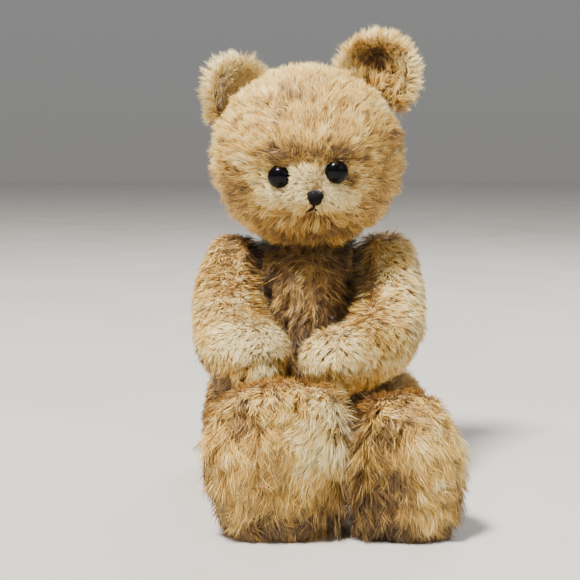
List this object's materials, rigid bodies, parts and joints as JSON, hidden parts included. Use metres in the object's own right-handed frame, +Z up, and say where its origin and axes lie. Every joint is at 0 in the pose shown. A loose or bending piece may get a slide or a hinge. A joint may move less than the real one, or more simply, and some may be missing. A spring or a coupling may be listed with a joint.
{
  "type": "teddy bear",
  "caption": "Old disc-jointed mohair teddy bear with worn golden fur, black glass eyes and a stitched nose, sitting with its paws in its lap.",
  "frame": {"origin": "centre of the torso's flat underside, on the surface that the bear sits on", "axes": "+Z up, the bear faces -Y, +X towards the bear's own left hand"},
  "size_m": [0.1331, 0.1758, 0.2445],
  "materials": {
    "mohair": "worn golden mohair pile, tangled, with paler tips and brown shadows",
    "wood_wool": "packed wood wool",
    "black_glass": "glossy black",
    "black_thread": "worn black stitching",
    "brown_thread": "matt thread",
    "fibreboard": "hard pressed fibre",
    "steel": "dull, slightly tarnished"
  },
  "bodies": {
    "torso": {"torso_cover": "mohair", "torso_stuffing": "wood_wool", "back_closing_stitches": "brown_thread", "neck_body_disc": "fibreboard", "neck_body_washer": "steel", "neck_split_pin": "steel", "shoulder_left_body_disc": "fibreboard", "shoulder_left_body_washer": "steel", "shoulder_left_split_pin": "steel", "shoulder_right_body_disc": "fibreboard", "shoulder_right_body_washer": "steel", "shoulder_right_split_pin": "steel", "hip_left_body_disc": "fibreboard", "hip_left_body_washer": "steel", "hip_left_split_pin": "steel", "hip_right_body_disc": "fibreboard", "hip_right_body_washer": "steel", "hip_right_split_pin": "steel"},
    "head": {"head_cover": "mohair", "head_stuffing": "wood_wool", "nose_stitching": "black_thread", "mouth_stitching": "black_thread", "ear_left": "mohair", "eye_left": "black_glass", "eye_left_shank": "steel", "ear_right": "mohair", "eye_right": "black_glass", "eye_right_shank": "steel", "neck_outer_disc": "fibreboard", "neck_outer_washer": "steel"},
    "arm_left": {"arm_left_cover": "mohair", "arm_left_stuffing": "wood_wool", "shoulder_left_outer_disc": "fibreboard", "shoulder_left_outer_washer": "steel"},
    "arm_right": {"arm_right_cover": "mohair", "arm_right_stuffing": "wood_wool", "shoulder_right_outer_disc": "fibreboard", "shoulder_right_outer_washer": "steel"},
    "leg_left": {"leg_left_cover": "mohair", "leg_left_stuffing": "wood_wool", "hip_left_outer_disc": "fibreboard", "hip_left_outer_washer": "steel"},
    "leg_right": {"leg_right_cover": "mohair", "leg_right_stuffing": "wood_wool", "hip_right_outer_disc": "fibreboard", "hip_right_outer_washer": "steel"}
  },
  "joints": [
    {"name": "neck_turn", "type": "hinge", "parent": "torso", "child": "head", "pos_m": [-0.001, -0.001, 0.1335], "axis": [-0.07, -0.05, 0.9963], "continuous": true},
    {"name": "shoulder_left_turn", "type": "hinge", "parent": "torso", "child": "arm_left", "pos_m": [0.0255, 0, 0.115], "axis": [-1, 0, 0], "range_deg": [0, 45]},
    {"name": "shoulder_right_turn", "type": "hinge", "parent": "torso", "child": "arm_right", "pos_m": [-0.0255, 0, 0.115], "axis": [-1, 0, 0], "range_deg": [0, 45]},
    {"name": "hip_left_turn", "type": "hinge", "parent": "torso", "child": "leg_left", "pos_m": [0.0285, 0.002, 0.03], "axis": [0.999, -0.044, 0], "range_deg": [0, 100]},
    {"name": "hip_right_turn", "type": "hinge", "parent": "torso", "child": "leg_right", "pos_m": [-0.0285, 0.002, 0.03], "axis": [0.9868, 0.162, 0], "range_deg": [0, 100]}
  ]
}
